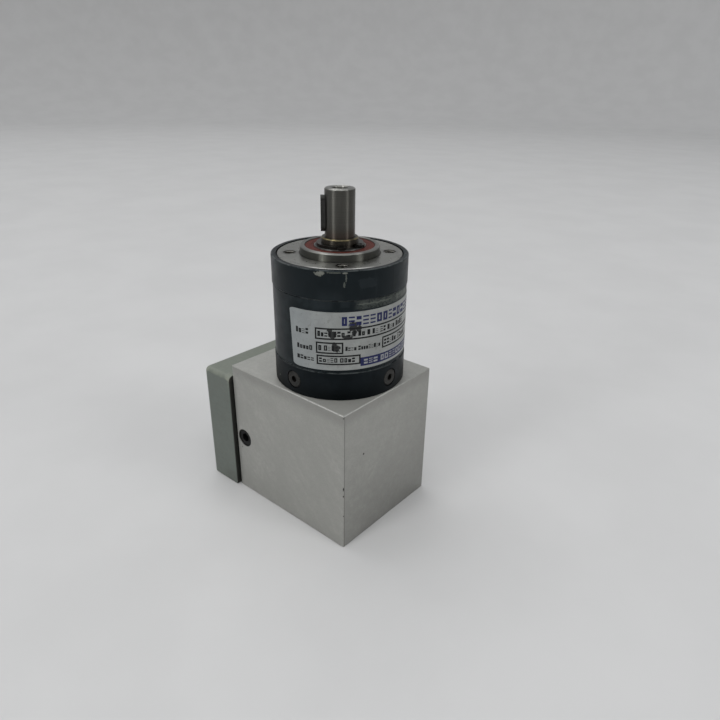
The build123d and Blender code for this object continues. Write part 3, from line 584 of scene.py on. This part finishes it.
def shaft_steel():
    """Dark ground shaft, with a brownish tint low down, a yellowish collar edge also brightened as a painted
    highlight, and painted light on its end.
    """
    s = turned_steel("shaft_steel", (0.11, 0.108, 0.098), 0.38, 4.0, 0.12, 0.95)
    collar_top = CLIP_TOP + COLLAR_RISE
    tint = s.step(s.z, collar_top + 0.5, collar_top + 5.0, 0.5, 0.0)
    s.stain(tint, (0.085, 0.055, 0.042))
    s.stain(s.step(s.z, collar_top, collar_top + 0.1, 0.6, 0.0), (0.045, 0.045, 0.036))
    # Yellowish collar edge, brightened as a painted highlight.
    outside = s.step(s.radius(), COLLAR_R - 0.2, COLLAR_R)
    edge = s.times(outside, s.band(s.z, collar_top - 0.4, collar_top + 0.1, 0.06))
    straw_and_highlight = s.times(edge, s.step(s.noise(0.3, 2.0, 0.5), 0.38, 0.6, 0.25, 1.0), 0.8)
    s.stain(straw_and_highlight, (0.3, 0.25, 0.13))
    # Painted light: the up-facing end of the shaft is paler.
    s.stain(s.step(s.z, SHAFT_TOP - 0.35, SHAFT_TOP - 0.25, 0.0, 1.0), (0.33, 0.33, 0.31))
    return s.material


def bearing_steel():
    """Ground bearing rings, with painted shade beside the circlip and on the outside of the outer ring above
    the flange.
    """
    s = turned_steel("bearing_steel", (0.3, 0.3, 0.283), 0.38, 5.0, 0.12, 0.95)
    # Painted shade beside the circlip on the inner ring.
    beside_clip_shade = s.times(s.step(s.radius(), 9.8, 10.3, 1.0, 0.0), s.step(s.z, CLIP_TOP - 4.0, CLIP_TOP - 3.0))
    s.stain(s.math("MULTIPLY", beside_clip_shade, 0.9), (0.03, 0.028, 0.026))
    # Painted shade on the outside of the outer ring, where it stands above the flange.
    outside = s.step(s.radius(), PILOT_R - 0.15, PILOT_R - 0.05)
    pilot_wall_shade = s.times(outside, s.step(s.z, FLANGE_TOP - 1.0, FLANGE_TOP), 0.88)
    s.stain(pilot_wall_shade, (0.085, 0.087, 0.076))
    return s.material


SEAL_WIDE = 3.85
MOULDED_WAVE = 1.9


def seal_rubber():
    """Red-brown moulded rubber, with dark rims and a painted shadow of the circlip across its front."""
    base = (0.088, 0.018, 0.013)
    s = Shader("seal_rubber", base, 0.0, 0.55, 0.12)
    radius, inner = s.radius(), SEAL_R - SEAL_WIDE
    grain = s.noise(1.6, 3.0, 0.6)
    tone = s.mix(s.step(grain, 0.3, 0.75), scaled(base, 0.8), scaled(base, 1.25))
    paler = s.step(s.noise(0.5, 3.0, 0.6), 0.5, 0.72, 0.0, 0.35)
    tone = s.mix(paler, tone, (0.15, 0.062, 0.05))
    inner_rim = s.step(radius, inner + 0.15, inner + 0.5, 1.0, 0.0)
    outer_rim = s.step(radius, SEAL_R - 0.5, SEAL_R - 0.15)
    first_line = s.times(s.band(radius, inner + 1.0, inner + 1.15, 0.08), 0.7)
    second_line = s.times(s.band(radius, inner + 1.7, inner + 1.8, 0.08), 0.7)
    # Painted shadow of the circlip, darkening the inner part of the front.
    front = s.band(s.degrees(), -95.0, -5.0, 14.0)
    circlip_shadow = s.times(s.step(radius, inner + 0.8, inner + 1.3, 1.0, 0.0), front)
    dark = s.times(s.most(inner_rim, outer_rim, first_line, second_line, circlip_shadow), 0.85)
    s.paint(s.mix(dark, tone, (0.012, 0.008, 0.007)))
    moulded = s.math("SINE", s.math("MULTIPLY", radius, 2 * math.pi / MOULDED_WAVE))
    s.bump(moulded, 0.08, 0.5)
    s.bump(grain, 0.02, 0.5)
    return s.material


OXIDE = (0.018, 0.018, 0.018)
OXIDE_WORN = (0.16, 0.155, 0.14)


def black_screw(name="black_screw", base=OXIDE, roughness=0.34, worn_color=OXIDE_WORN):
    """Black oxide steel, rubbed bright in places."""
    s = Shader(name, base, 0.6, roughness)
    grain = s.noise(2.4, 3.0, 0.6)
    worn = s.step(s.noise(1.1, 4.0, 0.7), 0.55, 0.72, 0.0, 0.7)
    s.paint(s.mix(worn, s.mix(grain, scaled(base, 0.7), scaled(base, 1.6)), worn_color))
    s.shine(s.line(grain, 0.25, 0.75, roughness * 0.8, roughness * 1.3))
    s.bump(grain, 0.01, 0.5)
    return s.material


def plain_steel(name, base, roughness):
    """Ground steel with fine crossed scratches."""
    s = Shader(name, base, 1.0, roughness)
    scratches = s.noise(1.0, 3.0, 0.6, s.stretched(6.0, 1.0, 6.0))
    cloud = s.noise(0.3, 3.0, 0.6)
    tone = s.mix(s.step(scratches, 0.3, 0.75), scaled(base, 0.85), scaled(base, 1.1))
    s.paint(s.mix(s.step(cloud, 0.45, 0.7, 0.0, 0.25), tone, scaled(base, 0.6)))
    s.shine(s.line(cloud, 0.3, 0.7, roughness * 0.8, roughness * 1.3))
    s.bump(scratches, 0.004, 0.5)
    return s.material


def porous_bronze():
    base = (0.46, 0.29, 0.14)
    s = Shader("porous_bronze", base, 0.95, 0.4)
    pores = s.step(s.cells(2.6), 0.12, 0.3)
    tone = s.mix(s.noise(0.6, 3.0, 0.6), scaled(base, 0.75), scaled(base, 1.2))
    s.paint(s.mix(pores, scaled(base, 0.3), tone))
    s.bump(pores, 0.03, 0.5)
    return s.material


def brass_cage():
    base = (0.56, 0.42, 0.2)
    s = Shader("brass_cage", base, 1.0, 0.3)
    cloud = s.noise(0.5, 3.0, 0.6)
    s.paint(s.mix(s.step(cloud, 0.35, 0.7), base, (0.36, 0.24, 0.1)))
    s.shine(s.line(cloud, 0.3, 0.7, 0.24, 0.42))
    s.bump(s.noise(3.0, 2.0, 0.5), 0.008, 0.5)
    return s.material


def red_spider():
    base = (0.36, 0.03, 0.022)
    s = Shader("red_spider", base, 0.0, 0.45)
    grain = s.noise(1.4, 3.0, 0.6)
    s.paint(s.mix(grain, scaled(base, 0.75), scaled(base, 1.25)))
    s.bump(grain, 0.03, 0.5)
    return s.material


def black_seal_ring():
    base = (0.017, 0.017, 0.018)
    s = Shader("black_seal_ring", base, 0.0, 0.55)
    grain = s.noise(2.0, 3.0, 0.6)
    s.paint(s.mix(grain, scaled(base, 0.7), scaled(base, 1.5)))
    s.bump(grain, 0.02, 0.5)
    return s.material


# ---------------------------------------------------------------- name plate

PLATE_ANGLE = -19.0
PLATE_MIDDLE_Z = 89.3
PLATE_TILT = math.tan(math.radians(0.7))
PLATE_R = box_mm("name_plate")[1].x
INK_LIFT = 0.006
INK_THICK = 0.02
COLUMN = 0.6


def on_plate(across, up, radius):
    """A point on the plate: across is the arc from its middle, up the height, in millimetres."""
    turn = math.radians(PLATE_ANGLE) + across / BODY_R
    z = PLATE_MIDDLE_Z + up + PLATE_TILT * across
    return Vector((radius * math.cos(turn), radius * math.sin(turn), z)) * MM


class Print:
    """One ink of the plate: many small closed slabs that follow the plate's curve."""

    def __init__(self, name, material, lift=INK_LIFT):
        self.name, self.material, self.lift = name, material, lift
        self.mesh = bmesh.new()

    def slab(self, left, right, low, high):
        """A printed rectangle."""
        columns = max(1, round((right - left) / COLUMN))
        inner, outer = PLATE_R + self.lift, PLATE_R + self.lift + INK_THICK
        rows = []
        for i in range(columns + 1):
            across = left + (right - left) * i / columns
            corners = ((low, inner), (low, outer), (high, outer), (high, inner))
            rows.append([self.mesh.verts.new(on_plate(across, up, r)) for up, r in corners])
        self.mesh.faces.new(rows[0])
        self.mesh.faces.new(reversed(rows[-1]))
        for before, after in zip(rows, rows[1:]):
            for i in range(4):
                j = (i + 1) % 4
                self.mesh.faces.new((before[j], before[i], after[i], after[j]))

    def frame(self, left, right, low, high, line=0.62):
        """A ruled box."""
        self.slab(left, right, low, low + line)
        self.slab(left, right, high - line, high)
        self.slab(left, left + line, low + line, high - line)
        self.slab(right - line, right, low + line, high - line)

    def mark(self, kind, left, right, low, high, stroke):
        """One block of a printed word: solid, hollow, or of two or three bars. None is a letter."""
        if kind == "solid":
            self.slab(left, right, low, high)
        elif kind == "hollow":
            self.frame(left, right, low, high, stroke)
        else:
            bars = {"two": 2, "three": 3}[kind]
            step = (high - low + stroke) / bars
            for i in range(bars):
                self.slab(left, right, low + step * i, low + step * (i + 1) - stroke)

    def words(self, rng, left, right, low, high, pitch, counts, even=False):
        """Rows of plain blocks, in words of the given counts, that stand in for printed text."""
        kinds = ("hollow", "two", "three") if even else ("hollow", "two", "solid", "three")
        stroke = (high - low) * 0.24
        gap = pitch * 0.22
        across = left
        for count in counts:
            for i in range(count):
                wide = pitch * rng.uniform(0.62, 0.86)
                if across + wide > right:
                    return
                lower = rng.random() > 0.45 and i > 0 and not even
                tall = low + (high - low) * 0.76 if lower else high
                kind = rng.choice(kinds)
                self.mark(kind, across, across + wide, low, tall, stroke)
                across += wide + gap
            across += pitch * 0.45

    def done(self):
        """Turns the slabs into a finished piece."""
        data = bpy.data.meshes.new(self.name)
        bmesh.ops.recalc_face_normals(self.mesh, faces=self.mesh.faces)
        self.mesh.to_mesh(data)
        self.mesh.free()
        piece = bpy.data.objects.new(self.name, data)
        data.materials.append(self.material)
        bpy.context.scene.collection.objects.link(piece)
        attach(piece, "housing")


# The plate's layout, in millimetres from its middle: left, right, low and high.
TYPE_BOX = (-23.4, 30.5, 0.95, 5.7)
BATCH_BOX = (-23.1, -12.4, -4.88, -0.08)
FILL_BOX = (3.9, 30.5, -4.88, -0.08)
SERIAL_BOX = (-22.9, -5.6, -9.55, -5.5)
MAKER_BAR = (-5.6, 30.5, -10.6, -6.95)
# What stands in for print: the length of each word, in blocks.
BOXED_WORDS = (
    (TYPE_BOX, (4, 3, 1, 1, 2, 1, 2, 2, 3, 4)),
    (BATCH_BOX, (1, 4)),
    (FILL_BOX, (5, 5)),
    (SERIAL_BOX, (5, 6)),
)
CAPTION_PITCH, SMALL_PITCH = 1.56, 1.12
CAPTIONS = (
    (-31.9, -24.6, 2.5, 4.8, CAPTION_PITCH, (4,)),
    (-31.5, -23.8, -4.0, -2.0, CAPTION_PITCH, (5,)),
    (-31.6, -23.4, -8.4, -6.7, CAPTION_PITCH, (6,)),
    (-11.6, 3.4, -3.6, -1.85, SMALL_PITCH, (4, 10)),
)
TITLE = (-13.0, 30.0, 6.65, 10.25, 3.0, (14,))
MAKER_WORDS = (
    (3.4, 28.0, -9.9, -7.6, 2.5, (10,)),
    (-4.2, 2.2, -9.8, -7.8, 2.2, (3,)),
)
# Blots: across, up, width and height.
SMUDGES = (
    (-8.6, 6.2, 1.62, 2.09),
    (-6.5, 5.2, 1.08, 1.21),
    (-8.2, 3.8, 0.97, 1.32),
    (-10.8, 1.9, 1.84, 0.88),
    (-17.6, 4.6, 0.97, 1.1),
    (-16.5, 3.0, 1.3, 1.43),
    (-15.8, -1.1, 0.97, 0.99),
    (-15.0, -2.6, 1.4, 1.54),
)


def ink(name, base, worn_color, wear=0.5):
    """Screen-printed ink, thin and broken in places."""
    s = Shader(name, base, 0.0, 0.42, 0.2)
    wear_map = s.noise(0.9, 4.0, 0.7)
    s.paint(s.mix(s.step(wear_map, 0.5, 0.68, 0.0, wear), base, worn_color))
    s.shine(s.line(wear_map, 0.3, 0.7, 0.36, 0.52))
    s.bump(s.noise(3.0, 2.0, 0.5), 0.006, 0.4)
    return s.material


def foil():
    """Silver foil: speckled, a little blue to the left, with black ink smudges and rubbed patches."""
    base = (0.32, 0.332, 0.322)
    s = Shader("plate_foil", base, 0.3, 0.4)
    speck = s.noise(3.2, 3.0, 0.6)
    cloud = s.noise(0.22, 4.0, 0.6)
    tone = s.mix(s.step(cloud, 0.35, 0.7), scaled(base, 0.9), scaled(base, 1.08))
    bluish = s.step(s.degrees(), -95.0, -40.0, 0.45, 0.0)
    tone = s.mix(bluish, tone, (0.27, 0.31, 0.335))
    tone = s.mix(s.step(speck, 0.35, 0.8, 0.0, 0.35), tone, scaled(base, 0.72))
    rubbed = s.times(s.step(s.noise(0.55, 4.0, 0.7), 0.55, 0.7), 0.5)
    tone = s.mix(rubbed, tone, (0.19, 0.195, 0.185))
    smudges = s.times(s.most(*(smudge(s, *place) for place in SMUDGES)), 0.96)
    tone = s.mix(smudges, tone, (0.008, 0.0085, 0.009))
    s.paint(tone)
    s.shine(s.line(cloud, 0.25, 0.75, 0.32, 0.5))
    s.bump(s.noise(0.35, 3.0, 0.6), 0.05, 0.4)
    s.bump(speck, 0.01, 0.4)
    return s.material


def smudge(s, across, up, wide, high):
    """A torn black blot on the plate, with a ragged edge."""
    point = on_plate(across, up, PLATE_R) / MM
    return s.spot(point, (wide, wide, high), 0.9, 1.3, 0.08)


def print_plate():
    """The plate's printing, as generic bars and ruled boxes."""
    rng = random.Random(7)
    dark_ink = ink("dark_ink", (0.007, 0.0075, 0.008), (0.05, 0.052, 0.052), 0.3)
    blue_ink = ink("blue_ink", (0.013, 0.017, 0.078), (0.07, 0.08, 0.13), 0.3)
    pale_ink = ink("pale_ink", (0.3, 0.31, 0.32), (0.14, 0.15, 0.2), 0.4)
    dark = Print("plate_print_dark", dark_ink)
    blue = Print("plate_print_blue", blue_ink)
    pale = Print("plate_print_pale", pale_ink, INK_LIFT * 2 + INK_THICK)
    for box, counts in BOXED_WORDS:
        left, right, low, high = box
        dark.frame(*box)
        inset = (high - low) * 0.27
        dark.words(rng, left + 1.0, right - 0.8, low + inset, high - inset, 1.55, counts)
    for caption in CAPTIONS:
        dark.words(rng, *caption)
    blue.words(rng, *TITLE, even=True)
    blue.slab(*MAKER_BAR)
    for row in MAKER_WORDS:
        pale.words(rng, *row, even=True)
    dark.done()
    blue.done()
    pale.done()


# ---------------------------------------------------------------- carried-over nodes

SMOOTH_BELOW = math.radians(28.0)


def crisp_edges():
    """A node group that shades a mesh smooth, apart from edges that turn more than SMOOTH_BELOW."""
    group = bpy.data.node_groups.new("crisp_edges", "GeometryNodeTree")
    group.is_modifier = True
    group.interface.new_socket("Geometry", in_out="INPUT", socket_type="NodeSocketGeometry")
    group.interface.new_socket("Geometry", in_out="OUTPUT", socket_type="NodeSocketGeometry")
    start = group.nodes.new("NodeGroupInput")
    end = group.nodes.new("NodeGroupOutput")
    turn = group.nodes.new("GeometryNodeInputMeshEdgeAngle")
    sharp = group.nodes.new("FunctionNodeCompare")
    sharp.data_type = "FLOAT"
    sharp.operation = "GREATER_THAN"
    sharp.inputs[1].default_value = SMOOTH_BELOW
    normals = group.nodes.new("GeometryNodeSetMeshNormal")
    normals.mode = "SHARPNESS"
    normals.inputs["Remove Custom"].default_value = True
    normals.inputs["Face Sharpness"].default_value = False
    group.links.new(turn.outputs["Unsigned Angle"], sharp.inputs[0])
    group.links.new(start.outputs[0], normals.inputs["Mesh"])
    group.links.new(sharp.outputs[0], normals.inputs["Edge Sharpness"])
    group.links.new(normals.outputs[0], end.inputs[0])
    return group


def dress_nodes():
    """Gives each CAD node its material and crisp edges."""
    crisp = crisp_edges()
    block = aluminium_block()
    gear = plain_steel("gear_steel", (0.4, 0.4, 0.39), 0.28)
    bearing = bearing_steel()
    ground = plain_steel("ground_steel", (0.5, 0.5, 0.49), 0.14)
    screw = black_screw()
    # The cover screws are painted near-black as shade in their holes.
    recess_shaded = black_screw("recess_shaded_screw", (0.005, 0.005, 0.005), 0.5, (0.014, 0.014, 0.013))
    clip = black_screw("oiled_spring_steel", (0.014, 0.0135, 0.012), 0.3)
    rubbed = black_screw("rubbed_screw", (0.017, 0.0165, 0.015), 0.42, (0.085, 0.08, 0.068))
    looks = {
        "housing_block": block,
        "side_cover": green_paint(),
        "cover_gasket": dark_gasket(),
        "cover_screws": recess_shaded,
        "radial_screws": rubbed,
        "carrier_screws": screw,
        "coupling_clamp_screws": screw,
        "output_ring": blackened("black_top_ring", top_ring_marks),
        "ring_gear": blackened("black_middle_ring", middle_ring_marks),
        "input_ring": blackened("black_lower_ring", lower_ring_marks, 0.09),
        "name_plate": foil(),
        "front_flange": flange_steel(),
        "output_shaft": shaft_steel(),
        "shaft_key": black_screw("key_steel", (0.03, 0.03, 0.028), 0.4, (0.09, 0.088, 0.08)),
        "shaft_circlip": clip,
        "sun_shaft_circlip": clip,
        "rear_bearing_circlip": clip,
        "input_bearing_circlip": clip,
        "front_bearing_seals": seal_rubber(),
        "input_bearing_seals": black_seal_ring(),
        "seal_rings": black_seal_ring(),
        "coupling_spider": red_spider(),
        "coupling_hub_motor": block,
        "coupling_hub_gear": block,
    }
    brass, bronze = brass_cage(), porous_bronze()
    for name, node in nodes.items():
        if name in looks:
            material = looks[name]
        elif name.endswith("_cage"):
            material = brass
        elif "_bush_" in name or name == "planet_washers":
            material = bronze
        elif name.endswith("_balls"):
            material = ground
        elif "bearing" in name:
            material = bearing
        else:
            material = gear
        node.data.materials.clear()
        node.data.materials.append(material)
        node.modifiers.new("crisp_edges", "NODES").node_group = crisp


# ---------------------------------------------------------------- floor, light and camera


def floor_material():
    base = (0.62, 0.62, 0.62)
    s = Shader("pale_floor", base, 0.0, 0.6, 0.25)
    cloud = s.noise(0.012, 3.0, 0.55)
    s.paint(s.mix(s.step(cloud, 0.3, 0.7), scaled(base, 0.975), scaled(base, 1.02)))
    s.bump(s.noise(0.5, 2.0, 0.5), 0.02, 0.2)
    return s.material


def floor():
    """A round pale floor whose far rim rises as a backdrop on every side."""
    flat, bend, top = 2600.0, 900.0, 300.0
    steps, turns = 14, 96
    profile = [(0.0, 0.0), (flat * 0.1, 0.0), (flat * 0.4, 0.0), (flat, 0.0)]
    for i in range(1, steps + 1):
        turn = math.radians(90.0) * i / steps
        profile.append((flat + bend * math.sin(turn), bend * (1 - math.cos(turn))))
    profile.append((flat + bend, bend + top))
    mesh = bmesh.new()
    centre = mesh.verts.new((0, 0, profile[0][1] * MM))
    rings = []
    for radius, z in profile[1:]:
        ring = []
        for i in range(turns):
            turn = 2 * math.pi * i / turns
            ring.append(mesh.verts.new(Vector((radius * math.cos(turn), radius * math.sin(turn), z)) * MM))
        rings.append(ring)
    for i in range(turns):
        j = (i + 1) % turns
        mesh.faces.new((centre, rings[0][i], rings[0][j]))
        for inner, outer in zip(rings, rings[1:]):
            mesh.faces.new((inner[i], outer[i], outer[j], inner[j]))
    data = bpy.data.meshes.new("studio_floor")
    for face in mesh.faces:
        face.smooth = True
    mesh.to_mesh(data)
    mesh.free()
    data.materials.append(floor_material())
    piece = bpy.data.objects.new("studio_floor", data)
    piece.location.z = cad_box[0].z
    bpy.context.scene.collection.objects.link(piece)


ROOM_COLOR = (0.97, 0.985, 1.0, 1)
ROOM_LEVEL = 0.4
ROOM_OVERHEAD = 0.5
DARK_SIDE = -20.0
DARK_HALF = 62.0
DARK_SHARE = 0.06


def room(world):
    """An even pale room, brighter overhead, with one dark side that gives the metal its contrast."""
    world.use_nodes = True
    t = Nodes(world.node_tree, "Generated", 1.0)
    background = world.node_tree.nodes["Background"]
    overhead = t.step(t.z, 0.0, 0.9, ROOM_LEVEL, ROOM_OVERHEAD)
    turn = t.math("MULTIPLY", t.math("ARCTAN2", t.y, t.x), 180 / math.pi)
    side = t.band(turn, DARK_SIDE - DARK_HALF, DARK_SIDE + DARK_HALF, 9.0)
    height = t.band(t.z, 0.02, 0.75, 0.12)
    level = t.math("MULTIPLY", overhead, t.line(t.times(side, height), 0.0, 1.0, 1.0, DARK_SHARE))
    background.inputs["Color"].default_value = ROOM_COLOR
    t.link(level, background.inputs["Strength"])


LAMP_AIM = Vector((0.0, 0.0, 80.0)) * MM
# Each panel's direction, its height angle, distance and size in metres, and its power in watts.
PANELS = {
    "left_panel": (-100.0, 30.0, 2.2, (0.46, 1.8), 11.5),
    "right_panel": (13.0, 30.0, 2.2, (0.46, 1.8), 9.5),
    "front_panel": (-50.0, 64.0, 2.6, (2.8, 0.75), 16.0),
    "overhead_panel": (165.0, 62.0, 3.5, (3.0, 2.2), 33.0),
}


def lamp(name, turn, rise, away, size, watts):
    """A soft panel aimed at the object, placed by its direction and distance in metres."""
    turn, rise = math.radians(turn), math.radians(rise)
    out = Vector((math.cos(turn) * math.cos(rise), math.sin(turn) * math.cos(rise), math.sin(rise)))
    data = bpy.data.lights.new(name, "AREA")
    data.shape = "RECTANGLE"
    data.size, data.size_y = size
    data.energy = watts
    panel = bpy.data.objects.new(name, data)
    panel.location = LAMP_AIM + out * away
    panel.rotation_euler = (-out).to_track_quat("-Z", "Y").to_euler()
    bpy.context.scene.collection.objects.link(panel)


def studio():
    """Soft overhead light with a panel to each side of the camera, in a pale room."""
    world = bpy.data.worlds.new("studio")
    bpy.context.scene.world = world
    room(world)
    for name, values in PANELS.items():
        lamp(name, *values)
    bpy.context.scene.view_settings.view_transform = "Standard"


# The camera as it was fitted to the picture: place, turn, downward tilt, roll and lens.
CAMERA_PLACE = (157.9, -172.5, 178.9)
CAMERA_TURN = 40.34
CAMERA_DOWN = 25.17
CAMERA_ROLL = 0.87
CAMERA_LENS = 29.76


def camera():
    data = bpy.data.cameras.new("camera")
    data.sensor_width = 36.0
    data.lens = CAMERA_LENS
    data.clip_start, data.clip_end = 0.01, 20.0
    view = bpy.data.objects.new("camera", data)
    turned = Matrix.Rotation(math.radians(CAMERA_TURN), 4, "Z")
    turned = turned @ Matrix.Rotation(math.radians(90.0 - CAMERA_DOWN), 4, "X")
    turned = turned @ Matrix.Rotation(math.radians(CAMERA_ROLL), 4, "Z")
    view.matrix_world = Matrix.Translation(Vector(CAMERA_PLACE) * MM) @ turned
    bpy.context.scene.collection.objects.link(view)
    bpy.context.scene.camera = view


camera()
studio()
floor()
dress_nodes()
print_plate()
